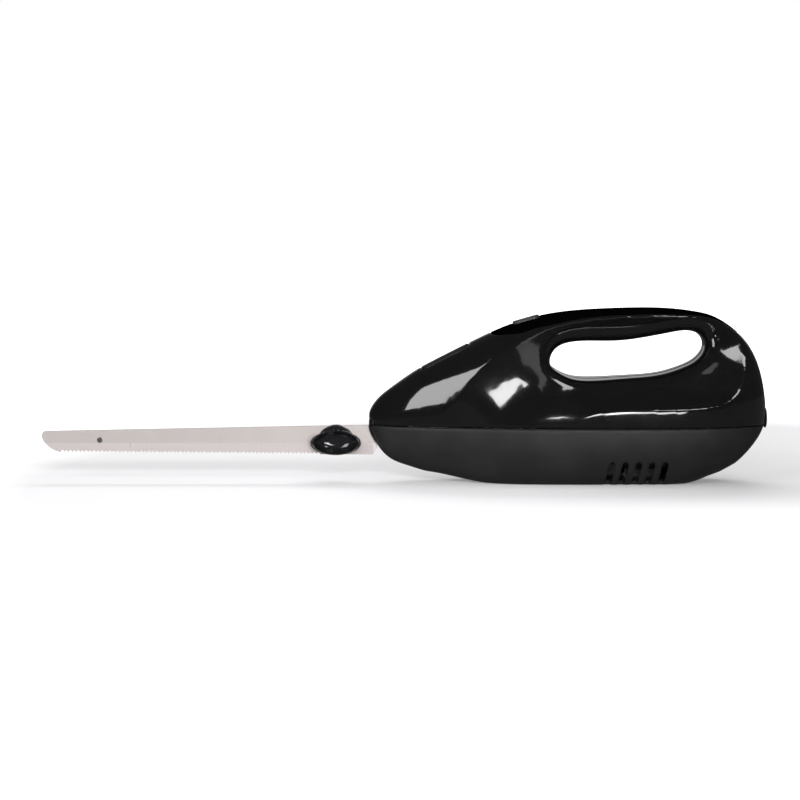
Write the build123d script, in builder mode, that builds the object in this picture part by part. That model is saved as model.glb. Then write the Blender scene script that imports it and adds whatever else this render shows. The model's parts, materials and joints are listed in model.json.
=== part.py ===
from build123d import *
import math
import os

os.makedirs("parts", exist_ok=True)

# Electric carving knife. X runs from the blade tip (-X) to the rear of the handle, Z is up.
# The origin is on the flat base. The left side is -Y.

# Overall body
body_length = 251.0
body_height = 110.8
body_width = 67.0
nose_reach = 146.7            # from the origin forward to the nose
parting_height = 36.8         # joint between the lower housing and the upper shells
shell_wall = 3.0
dish_wall = 4.2               # thicker where the rim of the hand opening is rounded
section_fullness = 2.5        # exponent of the rounded body sections
section_pull_shares = (1.0, 0.5)   # how far each section runs straight at its top and bottom
overrun = 10.0                # how far cutting shapes run past what they cut
part_gap = 0.3                # clearance between pieces that move past each other
seam_gap = 0.2                # visible seam between trim and shells
shaft_clearance = 0.05        # radial clearance of a shaft in its bearing

half_width = body_width / 2
body_middle = body_length / 2 - nose_reach
body_rear = body_length - nose_reach

# Body sections: place along the body, top, bottom and widest level as shares of the height,
# and half width as a share of the greatest half width
section_shares = [
    (0.0, 0.402, 0.298, 0.345, 0.134),
    (0.006, 0.430, 0.266, 0.340, 0.224),
    (0.0187, 0.471, 0.217, 0.335, 0.328),
    (0.0386, 0.513, 0.161, 0.332, 0.418),
    (0.0665, 0.560, 0.117, 0.332, 0.507),
    (0.1143, 0.635, 0.080, 0.332, 0.627),
    (0.186, 0.723, 0.044, 0.332, 0.746),
    (0.2737, 0.822, 0.0, 0.332, 0.860),
    (0.3853, 0.926, -0.030, 0.332, 0.955),
    (0.5247, 0.985, -0.036, 0.332, 1.0),
    (0.684, 1.0, -0.036, 0.332, 1.0),
    (0.8036, 0.984, -0.010, 0.332, 0.934),
    (0.8833, 0.933, 0.056, 0.332, 0.821),
    (0.937, 0.842, 0.132, 0.338, 0.657),
    (0.9669, 0.752, 0.206, 0.350, 0.507),
    (0.9849, 0.654, 0.264, 0.365, 0.373),
    (0.9948, 0.560, 0.309, 0.385, 0.269),
    (1.0, 0.478, 0.338, 0.400, 0.179),
]

# Hollowed sides of the upper shells: half widths at nine levels, for places along the body
dish_level_shares = [0.271, 0.397, 0.451, 0.523, 0.614, 0.722, 0.848, 0.957, 1.065]
dish_shares = [
    (-0.040, [0.597, 0.597, 0.597, 0.597, 0.582, 0.567, 0.552, 0.537, 0.522]),
    (0.067, [0.597, 0.597, 0.597, 0.597, 0.582, 0.567, 0.552, 0.537, 0.522]),
    (0.186, [0.740, 0.740, 0.740, 0.737, 0.725, 0.704, 0.672, 0.642, 0.627]),
    (0.286, [0.833, 0.830, 0.821, 0.800, 0.755, 0.696, 0.642, 0.603, 0.582]),
    (0.405, [0.943, 0.931, 0.901, 0.845, 0.776, 0.693, 0.606, 0.546, 0.522]),
    (0.545, [1.021, 1.003, 0.949, 0.791, 0.642, 0.552, 0.507, 0.490, 0.478]),
    (0.704, [1.343, 1.119, 0.949, 0.681, 0.537, 0.490, 0.458, 0.436, 0.424]),
    (0.831, [1.224, 1.030, 0.881, 0.672, 0.543, 0.478, 0.403, 0.349, 0.316]),
    (0.935, [0.985, 0.881, 0.806, 0.687, 0.576, 0.448, 0.254, 0.179, 0.149]),
    (1.031, [0.896, 0.776, 0.716, 0.612, 0.493, 0.358, 0.209, 0.149, 0.119]),
]

# Hand opening
opening_length = 97.8
opening_height = 30.5
opening_front = -33.0
opening_floor = 65.7
opening_fillet = 8.0
opening_margin = 4.5          # shell thickness kept round the opening
opening_shares = [
    (0.0, 0.416), (0.052, 0.679), (0.155, 0.780), (0.337, 0.793), (0.481, 0.807), (0.630, 0.875),
    (0.792, 0.970), (0.902, 1.0), (0.973, 0.905), (1.0, 0.689), (0.948, 0.403), (0.863, 0.256),
    (0.727, 0.118), (0.506, 0.043), (0.272, 0.0), (0.143, 0.036), (0.051, 0.174),
]

# Grip insert along the top
insert_thickness = 2.0
insert_edge_shares = [
    (0.290, 0.890), (0.307, 0.853), (0.321, 0.849), (0.352, 0.856), (0.381, 0.864), (0.410, 0.887),
    (0.444, 0.904), (0.483, 0.924), (0.584, 0.957), (0.670, 0.966), (0.763, 0.966), (0.837, 0.953),
    (0.875, 0.929), (0.903, 0.893), (0.927, 0.858), (0.945, 0.842),
]
handle_duct_width = 18.0
handle_duct_wall = 5.2        # insert plus shell under it
cavity_ceiling = 92.0         # the wide cavity ends below the insert's lower edge

# Blades
blade_length = 210.5          # from the tip to the heel's lower corner
blade_heel_x = -144.1
blade_height = 19.0
blade_bottom = 17.1
heel_chamfer_length = 2.5
heel_chamfer_height = 4.4
blade_shoulder_x = -138.0
blade_thickness = 1.0
blade_gap = 0.3               # between the two blades
blade_bevel_height = 7.4
blade_edge_thickness = 0.35
tooth_count = 66
tooth_depth = 1.22
minor_tooth_share = 0.85
tooth_start_share = 0.0556
tooth_end_share = 0.840
tooth_rise_share = 0.079      # rise of the toothed edge towards the tip
tip_shares = [
    (0.47, 0.12), (0.25, 0.245), (0.10, 0.39), (0.0, 0.66), (0.03, 0.745), (0.115, 0.785),
]
tang_height = 9.0
tang_bottom = 24.0
tang_rear = -106.5
tang_notch_front = -113.3
tang_notch_length = 3.4
tang_notch_depth = 2.0
rivet_radius = 1.1
rivet_head_radius = 1.7
rivet_head_thickness = 0.5
rivet_x = -317.8
rivet_z = 26.4

# Blade guards
guard_length = 32.6
guard_height = 15.7
guard_width = 9.5
guard_base = 2.2
guard_lip = 0.9               # wall above and below the bowl
guard_ear = 3.3               # wall at its two ends
guard_foot_share = 0.74
guard_floor_share = 0.52
guard_x = -167.6
guard_z = 25.5
flange_length = 22.0
flange_height = 15.2
flange_z = 28.3

# Nose collar and blade slot
collar_depth = 8.5
collar_bottom = 25.5
collar_top = 39.5
collar_width = 14.0
slot_width = 4.4
slot_bottom = 19.0
slot_top = 37.5
slot_rear = -131.0

# Motor
motor_z = 31.0
shaft_radius = 2.5
shaft_front = -83.0
shaft_rear = 72.0
stack_front = 14.0
stack_length = 26.0
stack_width = 48.0
stack_height = 42.0
stack_corner = 8.0
core_radius = 13.2
air_gap = 0.6
core_slots = 12
core_slot_width = 2.2
core_slot_depth = 6.0
winding_radius = 11.5
winding_overhang = 6.0
winding_round = 2.0
coil_inner_radius = 14.6
coil_thickness = 4.6
coil_overhang = 5.0
coil_end_width = 4.0
coil_outer_angle = 55.0
coil_inner_angle = 38.0
commutator_front = 50.0
commutator_length = 10.0
commutator_radius = 7.0
commutator_bars = 12
bar_groove = 0.6
fan_front = -8.0
fan_length = 10.0
fan_radius = 17.0
fan_hub_radius = 6.0
fan_blades = 9
fan_sheet = 1.2
bearing_outer_radius = 5.5
bearing_length = 5.0
front_bearing_x = -43.8
rear_bearing_x = 64.0
bracket_thickness = 2.5
bracket_width = 32.0
bracket_bottom = 12.0
bracket_top = 44.0
bracket_arm_inside = 12.0
bracket_arm_outside = 18.0
brush_x = 55.0
brush_side = 6.0
brush_length = 8.0
holder_wall = 1.0
holder_length = 15.0
holder_inside = 8.0
brush_play = 0.1
brush_coil_radius = 2.2
brush_coil_turns = 5

# Gearing
gear_x = -62.0
wheel_teeth = 36
gear_module = 1.0
wheel_width = 6.0
tooth_reach = 0.9
tooth_root = 1.2
worm_pitch_radius = 4.5
worm_length = 24.0
worm_turns = 6
worm_thread_base = 1.3
worm_thread_tip = 0.6
wheel_tooth_base = 1.5
wheel_tooth_tip = 0.6
axle_radius = 3.0
axle_length = 31.0
bush_radius = 5.0
bush_length = 3.2
crank_radius = 4.5
eccentric_radius = 8.5

# Gear frame
frame_front = -84.0
frame_rear = -40.0
frame_bottom = 20.0
frame_top = 62.0
frame_half_width = 14.5
frame_sheet = 2.5
frame_nose_half_width = 5.0
frame_wall_top = 40.0
frame_nose_top = 36.0
frame_top_front = -72.0
frame_top_rear = -52.0

# Blade drive
arm_inside = 6.5
arm_thickness = 3.0
yoke_wall = 4.0
block_front = -122.0
block_rear = -98.0
block_bottom = 22.0
block_top = 38.0
arm_depth = 14.0              # height of the sloping arm
yoke_corner = 6.0
guide_front = -118.0
guide_rear = -102.0
guide_wall = 2.5
guide_top = 35.0
latch_thickness = 0.7
latch_width = 2.2
latch_front = -118.0
latch_rear = -88.0
latch_tail_top = 40.4
latch_finger_length = 2.6

# Power button and switch, drawn square to the slope that the button sits on
button_x = -47.3
button_z = 102.6
button_slope = 16.0
button_length = 17.2
button_width = 13.0
button_proud = 1.3
button_depth = 3.5
button_corner = 3.0
button_travel = 2.0
plunger_radius = 2.0
plunger_length = 10.0
switch_top = 9.2
switch_length = 16.0
switch_offset = -4.0
switch_width = 9.0
switch_height = 13.0
button_coil_radius = 3.6
spring_wire = 0.7
button_coil_turns = 4

# Release button, drawn square to the slope of the nose
release_x = -99.0
release_z = 80.4
release_slope = 28.0
release_length = 33.0
release_width = 17.0
release_depth = 4.0
release_corner = 4.0
release_travel = 3.0
release_stem_radius = 3.0
release_stem_offset = 8.0
release_stem_length = 20.0
release_foot_depth = 3.0
release_foot_length = 6.0
prong_inside = 10.1
prong_thickness = 2.0
prong_length = 8.6
release_shelf = 14.0
shelf_thickness = 2.0
release_coil_radius = 4.6
release_coil_turns = 5

# Cord gland
gland_height = 40.6
gland_neck_half_width = 5.2
gland_corner_radius = 2.4
gland_rim_radius = 6.4
gland_bore_radius = 2.9
gland_proud = 1.0
gland_flange_half_width = 6.4
gland_flange_depth = 2.0
gland_length = 8.0

# Screws
screw_places = [(-27.0, 11.5), (80.0, 8.5)]
screw_radius = 1.5
screw_head_radius = 2.8
screw_head_height = 2.0
screw_length = 16.0
screw_seat = 24.0
boss_radius = 4.6
well_radius = 3.2

# Cooling slots
vent_count = 5
vent_pitch = 8.3
vent_first_x = 4.4
vent_width = 3.4
vent_height = 17.5
vent_bottom = -2.0
vent_lean = 2.6
vent_inside = 17.5

# Board and leads
board_front = 72.0
board_length = 16.0
board_bottom = 46.0
board_height = 28.0
board_thickness = 1.6
capacitor_length = 12.0
capacitor_height = 14.0
capacitor_depth = 6.0
lead_radius = 1.0
lead_bend = 5.0
supply_route = [(95.0, 40.6), (88.0, 43.0), (82.0, 47.0)]
handle_route = [(80.0, 66.0), (78.5, 86.0), (68.2, 97.8), (60.0, 100.7), (48.0, 101.4), (20.0, 101.5),
                (-12.0, 99.5), (-36.0, 96.0)]
lead_groove_front = 46.0
lead_groove_rear = 64.5
lead_groove_bottom = 98.6
lead_groove_top = 103.0
lead_groove_width = 3.6
motor_route = [(-42.0, 79.6), (-40.0, 66.0), (-28.0, 58.0), (16.0, 56.0), (24.0, 53.4)]

# Ribs
rib_thickness = 3.0
pedestal_half_width = 12.0
pedestal_length = 11.0
floor_thickness = 3.0
air_guide_front = 2.5
air_guide_length = 6.0
air_guide_top = 18.0
air_step_rear = 13.5
air_step_top = 11.4


def half_fuselage(inset):
    """Left half of the streamlined body, drawn in by a wall thickness."""
    along_scale = 1 - 2 * inset / body_length
    side_scale = 1 - inset / half_width
    rise_scale = 1 - inset / (body_height - parting_height)
    turns = [quarter * math.pi / 8 for quarter in range(4, -5, -1)]
    with BuildPart() as form:
        for along, top, bottom, belly, width in section_shares:
            section_x = body_middle + body_length * (along - 1 / 2) * along_scale
            section_width = half_width * width * side_scale
            levels = [parting_height + (share * body_height - parting_height) * rise_scale
                      for share in (top, bottom, belly)]
            points = []
            for turn in turns:
                reach = levels[0] - levels[2] if turn > 0 else levels[2] - levels[1]
                across = section_width * max(0, math.cos(turn)) ** (2 / section_fullness)
                rise = math.copysign(abs(math.sin(turn)) ** (2 / section_fullness), turn)
                points.append((0 if abs(rise) == 1 else -across, levels[2] + reach * rise))
            points[0] = (0, levels[0])
            points[-1] = (0, levels[1])
            with BuildSketch(Plane.YZ.offset(section_x)):
                with BuildLine():
                    Spline(*points, tangents=((-1, 0), (1, 0)), tangent_scalars=section_pull_shares)
                    Line(points[-1], points[0])
                make_face()
        loft()
    return form.part


def half_dish(inset):
    """Left side form that hollows the upper shells beside the hand opening."""
    with BuildPart() as form:
        for along, widths in dish_shares:
            edge = [(inset - half_width * width, body_height * level)
                    for width, level in zip(widths, dish_level_shares)]
            with BuildSketch(Plane.YZ.offset(body_length * along - nose_reach)):
                with BuildLine():
                    Spline(*edge)
                    Polyline(edge[-1], (body_width, edge[-1][1]), (body_width, edge[0][1]), edge[0])
                make_face()
        loft()
    return form.part


def opening_form(margin):
    """Tunnel of the hand opening, each point of its outline moved outwards by a margin."""
    points = [Vector(opening_front + opening_length * along, opening_floor + opening_height * rise)
              for along, rise in opening_shares]
    outline = []
    for before, point, after in zip(points[-1:] + points, points, points[1:] + points[:1]):
        outward = (after - before).normalized().rotate(Axis.Z, 90)
        outline.append(point + outward * margin)
    with BuildPart() as form:
        with BuildSketch(Plane.XZ):
            with BuildLine():
                Spline(*outline, periodic=True)
            make_face()
        extrude(amount=body_width, both=True)
    return form.part


def insert_band():
    """Region above the lower edge of the grip insert, seen from the side."""
    edge = [(body_length * along - nose_reach, body_height * rise) for along, rise in insert_edge_shares]
    roof = body_height + overrun
    with BuildPart() as form:
        with BuildSketch(Plane.XZ):
            with BuildLine():
                Spline(*edge)
                Polyline(edge[-1], (edge[-1][0], roof), (edge[0][0], roof), edge[0])
            make_face()
        extrude(amount=body_width, both=True)
    return form.part


def side_box(front, rear, low, high, inside, outside):
    """Block on the left side, between two distances from the centre plane."""
    with BuildPart() as form:
        with BuildSketch(Plane.XY.offset(low)):
            with Locations(((front + rear) / 2, -(inside + outside) / 2)):
                Rectangle(rear - front, outside - inside)
        extrude(amount=high - low)
    return form.part


def spring_coil(plane, coil_radius, wire, length, turns):
    """Round wire wound along a plane's normal."""
    with BuildPart() as form:
        with BuildLine():
            path = Helix(pitch=length / turns, height=length, radius=coil_radius,
                         center=plane.origin, direction=plane.z_dir)
        with BuildSketch(Plane(origin=path @ 0, z_dir=path % 0)):
            Circle(wire / 2)
        sweep(is_frenet=True)
    return form.part


def both_sides(piece):
    """A left piece with its mirror image."""
    with BuildPart() as form:
        add(piece)
        mirror(about=Plane.XZ)
    return form.part


def write(piece, name):
    piece.label = name
    export_step(piece, f"parts/{name}.step")


# Places that follow from the sizes above
wheel_radius = gear_module * wheel_teeth / 2
gear_z = motor_z + worm_pitch_radius + wheel_radius
tooth_pitch = math.pi * gear_module
stack_bottom = motor_z - stack_height / 2
guide_bottom = block_bottom - part_gap - guide_wall
switch_bore_depth = button_depth + plunger_length + button_travel + 2 * part_gap - switch_top
vent_angle = 90 - math.degrees(math.atan2(vent_lean, vent_height))
blade_inside = blade_gap / 2
blade_outside = blade_inside + blade_thickness

# Frames of the two buttons
power_plane = Plane(
    origin=(button_x, 0, button_z),
    x_dir=(math.cos(math.radians(button_slope)), 0, math.sin(math.radians(button_slope))),
    z_dir=(-math.sin(math.radians(button_slope)), 0, math.cos(math.radians(button_slope))),
)
release_plane = Plane(
    origin=(release_x, 0, release_z),
    x_dir=(math.cos(math.radians(release_slope)), 0, math.sin(math.radians(release_slope))),
    z_dir=(-math.sin(math.radians(release_slope)), 0, math.cos(math.radians(release_slope))),
)

# Body forms
outer_half = half_fuselage(0)
inner_half = half_fuselage(shell_wall)
insert_floor = half_fuselage(insert_thickness)
duct_half = half_fuselage(handle_duct_wall)
outer_dish = half_dish(0)
inner_dish = half_dish(dish_wall)
opening_tunnel = opening_form(0)
opening_wall = opening_form(opening_margin)
band = insert_band()

with BuildPart() as upper_block:
    with BuildSketch(Plane.XY.offset(parting_height)):
        Rectangle(2 * body_length, 2 * body_width)
    extrude(amount=body_height)

with BuildPart() as left_duct:
    add(duct_half)
    with BuildSketch(Plane.XY.offset(cavity_ceiling - shell_wall)):
        Rectangle(2 * body_length, handle_duct_width)
    extrude(amount=body_height, mode=Mode.INTERSECT)
with BuildPart() as insert_recess:
    add(band)
    add(insert_floor, mode=Mode.SUBTRACT)

# Left upper body before it is hollowed
with BuildPart() as left_body:
    add(outer_half)
    add(upper_block.part, mode=Mode.INTERSECT)
    add(outer_dish, mode=Mode.INTERSECT)
    add(opening_tunnel, mode=Mode.SUBTRACT)
    opening_rim = (
        left_body.edges()
        .filter_by(lambda edge: edge.center().Z > opening_floor)
        .filter_by(lambda edge: edge.bounding_box().max.Y < -part_gap)
        .filter_by(lambda edge: edge.bounding_box().max.X < opening_front + opening_length + overrun)
        .filter_by(lambda edge: edge.bounding_box().min.X > opening_front - overrun)
    )
    fillet(opening_rim, radius=opening_fillet)

# Holes that the two buttons move in
with BuildPart() as power_hole:
    with BuildSketch(power_plane.offset(-switch_top)):
        RectangleRounded(button_length + 2 * part_gap, button_width + 2 * part_gap, button_corner)
    extrude(amount=switch_top + overrun)
with BuildPart() as release_hole:
    with BuildSketch(release_plane.offset(-release_depth - release_travel - shell_wall)):
        RectangleRounded(release_length + 2 * part_gap, release_width + 2 * part_gap, release_corner)
    extrude(amount=release_depth + release_travel + shell_wall + overrun)

# Openings in the nose and at the rear
with BuildPart() as blade_slot:
    with BuildSketch(Plane.XY.offset(slot_bottom)):
        with Locations(((slot_rear - nose_reach - overrun) / 2, 0)):
            Rectangle(slot_rear + nose_reach + overrun, slot_width)
    extrude(amount=slot_top - slot_bottom)
with BuildPart() as collar_seat:
    with BuildSketch(Plane.XY.offset(collar_bottom)):
        with Locations((-nose_reach + collar_depth / 2 - overrun / 2, 0)):
            Rectangle(collar_depth + overrun, collar_width)
    extrude(amount=collar_top - collar_bottom)
gland_plane = Plane(origin=(body_rear + gland_proud, 0, gland_height), z_dir=(-1, 0, 0))
with BuildPart() as gland_hole:
    with BuildSketch(gland_plane.offset(-overrun)):
        RectangleRounded(2 * gland_neck_half_width, 2 * gland_neck_half_width, gland_corner_radius)
    extrude(amount=gland_length + 2 * overrun)
    with BuildSketch(gland_plane.offset(gland_length - gland_flange_depth)):
        RectangleRounded(2 * gland_flange_half_width, 2 * gland_flange_half_width, gland_corner_radius)
    extrude(amount=gland_flange_depth + overrun)

# Screw bosses on the left side, with the wells that the screws enter from below
with BuildPart() as upper_bosses:
    for screw_x, screw_y in screw_places:
        with BuildSketch(Plane.XY.offset(parting_height)):
            with Locations((screw_x, -screw_y)):
                Circle(boss_radius)
            with Locations((screw_x, -(screw_y + half_width) / 2)):
                Rectangle(rib_thickness, half_width - screw_y)
        extrude(amount=screw_seat + screw_length - parting_height + rib_thickness)
with BuildPart() as lower_bosses:
    for screw_x, screw_y in screw_places:
        with BuildSketch():
            with Locations((screw_x, -screw_y)):
                Circle(boss_radius)
        extrude(amount=parting_height)
with BuildPart() as screw_holes:
    for screw_x, screw_y in screw_places:
        with BuildSketch(Plane.XY.offset(-overrun)):
            with Locations((screw_x, -screw_y)):
                Circle(well_radius)
        extrude(amount=overrun + screw_seat)
        with BuildSketch(Plane.XY.offset(screw_seat)):
            with Locations((screw_x, -screw_y)):
                Circle(screw_radius)
        extrude(amount=screw_length)

# Ribs and shelves inside the left upper shell
with BuildPart() as upper_ribs:
    with BuildSketch(power_plane.offset(-switch_top - switch_height)):
        with Locations((switch_offset, -switch_width / 2 - half_width / 2)):
            Rectangle(switch_length, half_width)
    extrude(amount=rib_thickness)
    with BuildSketch(release_plane.offset(-release_shelf - shelf_thickness)):
        with Locations((-release_stem_offset, -half_width / 2)):
            Rectangle(2 * (release_coil_radius + rib_thickness), half_width)
        with Locations((-release_stem_offset, 0)):
            Circle(release_stem_radius + part_gap, mode=Mode.SUBTRACT)
    extrude(amount=shelf_thickness)
    for rib_x in (board_front, board_front + board_length - rib_thickness):
        add(side_box(rib_x, rib_x + rib_thickness, board_bottom + rib_thickness,
                     board_bottom + 2 * rib_thickness, board_thickness / 2, half_width))

# Space inside the left upper shell
with BuildPart() as left_space:
    add(inner_half)
    add(inner_dish, mode=Mode.INTERSECT)
    with BuildSketch(Plane.XY.offset(parting_height)):
        Rectangle(2 * body_length, 2 * body_width)
    extrude(amount=cavity_ceiling - parting_height, mode=Mode.INTERSECT)
    add(left_duct.part)
    add([opening_wall, upper_ribs.part, upper_bosses.part], mode=Mode.SUBTRACT)
    add(side_box(lead_groove_front, lead_groove_rear, lead_groove_bottom, lead_groove_top, 0, lead_groove_width))

with BuildPart() as upper_shell_left:
    add(left_body.part)
    add(left_space.part, mode=Mode.SUBTRACT)
    add(insert_recess.part, mode=Mode.SUBTRACT)
    add([power_hole.part, release_hole.part, blade_slot.part, collar_seat.part, gland_hole.part,
         screw_holes.part], mode=Mode.SUBTRACT)
write(upper_shell_left.part, "upper_shell_left")

with BuildPart() as upper_shell_right:
    add(mirror(upper_shell_left.part, about=Plane.XZ, mode=Mode.PRIVATE))
write(upper_shell_right.part, "upper_shell_right")

with BuildPart() as insert_half:
    add(outer_half)
    add(band, mode=Mode.INTERSECT)
    add(insert_floor, mode=Mode.SUBTRACT)
    add(power_hole.part, mode=Mode.SUBTRACT)
with BuildPart() as grip_insert:
    add(both_sides(insert_half.part))
write(grip_insert.part, "grip_insert")

# Lower housing: tub with pedestals, bosses and cooling slots
def pedestal(front, rear, top):
    """Block that stands on the tub's floor, from the centre plane to the left."""
    return side_box(front, rear, 0, top, 0, pedestal_half_width)


with BuildPart() as lower_ribs:
    add(pedestal(guide_front + rib_thickness, guide_rear - rib_thickness, guide_bottom))
    add(pedestal(frame_front + rib_thickness, frame_front + pedestal_length, frame_bottom))
    add(pedestal(frame_rear - pedestal_length, frame_rear - rib_thickness, frame_bottom))
    add(pedestal(stack_front + rib_thickness, stack_front + stack_length - rib_thickness, stack_bottom))
    add(pedestal(rear_bearing_x - rib_thickness, rear_bearing_x + rib_thickness, bracket_bottom))
    add(side_box(air_guide_front, air_guide_front + air_guide_length, 0, air_guide_top, 0, rib_thickness / 2))
    add(side_box(air_guide_front, air_step_rear, 0, air_step_top, 0, rib_thickness / 2))
with BuildPart() as lower_space:
    add(inner_half)
    with BuildSketch(Plane.XY.offset(floor_thickness)):
        Rectangle(2 * body_length, 2 * body_width)
    extrude(amount=parting_height - floor_thickness, mode=Mode.INTERSECT)
    add([lower_ribs.part, lower_bosses.part], mode=Mode.SUBTRACT)
with BuildPart() as vent_slots:
    with BuildSketch(Plane.XZ.offset(vent_inside)):
        for vent in range(vent_count):
            with Locations((vent_first_x + vent * vent_pitch, vent_bottom + vent_height / 2)):
                SlotOverall(vent_height, vent_width, rotation=vent_angle)
    extrude(amount=half_width)
with BuildPart() as lower_half:
    add(outer_half)
    with BuildSketch():
        Rectangle(2 * body_length, 2 * body_width)
    extrude(amount=parting_height, mode=Mode.INTERSECT)
    add(lower_space.part, mode=Mode.SUBTRACT)
    add([blade_slot.part, collar_seat.part, gland_hole.part, screw_holes.part, vent_slots.part],
        mode=Mode.SUBTRACT)
with BuildPart() as lower_housing:
    add(both_sides(lower_half.part))
write(lower_housing.part, "lower_housing")

with BuildPart() as collar_half:
    add(outer_half)
    with BuildSketch(Plane.XY.offset(collar_bottom)):
        with Locations((-nose_reach + collar_depth / 2 - overrun / 2, 0)):
            Rectangle(collar_depth + overrun, collar_width - 2 * seam_gap)
    extrude(amount=collar_top - collar_bottom, mode=Mode.INTERSECT)
    add(blade_slot.part, mode=Mode.SUBTRACT)
with BuildPart() as nose_collar:
    add(both_sides(collar_half.part))
write(nose_collar.part, "nose_collar")

with BuildPart() as cord_gland:
    with BuildSketch(gland_plane):
        Circle(gland_rim_radius)
    extrude(amount=gland_proud)
    with BuildSketch(gland_plane.offset(gland_proud)):
        RectangleRounded(2 * gland_neck_half_width, 2 * gland_neck_half_width, gland_corner_radius)
    extrude(amount=gland_length - gland_proud)
    with BuildSketch(gland_plane.offset(gland_length)):
        RectangleRounded(2 * (gland_flange_half_width - part_gap), 2 * (gland_flange_half_width - part_gap),
                         gland_corner_radius)
    extrude(amount=gland_flange_depth)
    fillet(cord_gland.faces().sort_by(Axis.X)[-1].edges(), radius=gland_proud / 3)
    with BuildSketch(gland_plane):
        Circle(gland_bore_radius)
    extrude(amount=gland_length + gland_flange_depth, mode=Mode.SUBTRACT)
write(cord_gland.part, "cord_gland")

with BuildPart() as housing_screws:
    for screw_x, screw_y in screw_places:
        for side in (-1, 1):
            with BuildSketch(Plane.XY.offset(screw_seat - screw_head_height)):
                with Locations((screw_x, side * screw_y)):
                    Circle(screw_head_radius)
            extrude(amount=screw_head_height)
            with BuildSketch(Plane.XY.offset(screw_seat)):
                with Locations((screw_x, side * screw_y)):
                    Circle(screw_radius)
            extrude(amount=screw_length)
            with BuildSketch(Plane.XY.offset(screw_seat - screw_head_height)):
                with Locations((screw_x, side * screw_y)):
                    RegularPolygon(screw_radius / 2, 6)
            extrude(amount=screw_head_height / 2, mode=Mode.SUBTRACT)
write(housing_screws.part, "housing_screws")


# Blades, drawn from the side with the teeth along the lower edge
blade_tip_x = blade_heel_x - blade_length
teeth_rear_x = blade_tip_x + blade_length * tooth_end_share
teeth_length = blade_length * (tooth_end_share - tooth_start_share)
teeth_rise = blade_height * tooth_rise_share
tang_front_x = blade_heel_x + heel_chamfer_length
tang_top = tang_bottom + tang_height


def toothed_edge_point(place):
    """Point on the toothed edge, from 0 at the heel end to 1 at the tip end."""
    return (teeth_rear_x - teeth_length * place, blade_bottom + teeth_rise * place)


with BuildPart() as plain_blade:
    tip_points = [(blade_tip_x + blade_height * along, blade_bottom + blade_height * rise)
                  for along, rise in tip_shares]
    with BuildSketch(Plane.XZ.offset(blade_inside)):
        with BuildLine():
            edge = Polyline((tang_rear, tang_bottom), (tang_front_x, tang_bottom),
                            (tang_front_x, blade_bottom + heel_chamfer_height), (blade_heel_x, blade_bottom),
                            toothed_edge_point(0))
            for tooth in range(tooth_count):
                start = edge @ 1
                end = toothed_edge_point((tooth + 1) / tooth_count)
                crown = tooth_depth * (1 if tooth % 2 else minor_tooth_share)
                edge = ThreePointArc(start, ((start.X + end[0]) / 2, (start.Y + end[1]) / 2 + crown), end)
            Spline(edge @ 1, *tip_points)
            Polyline(tip_points[-1], (blade_shoulder_x, blade_bottom + blade_height),
                     (blade_shoulder_x, tang_top), (tang_notch_front, tang_top),
                     (tang_notch_front, tang_top - tang_notch_depth),
                     (tang_notch_front + tang_notch_length, tang_top - tang_notch_depth),
                     (tang_notch_front + tang_notch_length, tang_top), (tang_rear, tang_top),
                     (tang_rear, tang_bottom))
        make_face()
    extrude(amount=blade_thickness)
    with BuildSketch(Plane.YZ.offset(blade_tip_x - overrun)):
        with BuildLine():
            Polyline((-blade_outside, blade_bottom + blade_bevel_height),
                     (-blade_inside - blade_edge_thickness, blade_bottom),
                     (-blade_inside - blade_edge_thickness, blade_bottom - overrun),
                     (-blade_outside - overrun, blade_bottom - overrun),
                     (-blade_outside - overrun, blade_bottom + blade_bevel_height), close=True)
        make_face()
    extrude(amount=blade_length + overrun, mode=Mode.SUBTRACT)

with BuildPart() as blade_left:
    add(plain_blade.part)
    with BuildSketch(Plane.XZ):
        with Locations((rivet_x, rivet_z)):
            Circle(rivet_radius)
    extrude(amount=blade_outside + overrun, mode=Mode.SUBTRACT)
write(blade_left.part, "blade_left")

with BuildPart() as blade_right:
    add(mirror(plain_blade.part, about=Plane.XZ, mode=Mode.PRIVATE))
    with BuildSketch(Plane.XZ):
        with Locations((rivet_x, rivet_z)):
            SlotOverall(4 * crank_radius + 2 * (rivet_radius + part_gap), 2 * (rivet_radius + part_gap))
    extrude(amount=-blade_outside - overrun, mode=Mode.SUBTRACT)
write(blade_right.part, "blade_right")

with BuildPart() as tip_rivet:
    with BuildSketch(Plane.XZ.offset(blade_outside)):
        with Locations((rivet_x, rivet_z)):
            Circle(rivet_head_radius)
    extrude(amount=rivet_head_thickness)
    with BuildSketch(Plane.XZ.offset(blade_outside)):
        with Locations((rivet_x, rivet_z)):
            Circle(rivet_radius)
    extrude(amount=-2 * blade_outside - part_gap)
    with BuildSketch(Plane.XZ.offset(-blade_outside - part_gap)):
        with Locations((rivet_x, rivet_z)):
            Circle(rivet_head_radius + part_gap)
    extrude(amount=-rivet_head_thickness)
write(tip_rivet.part, "tip_rivet")

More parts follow.
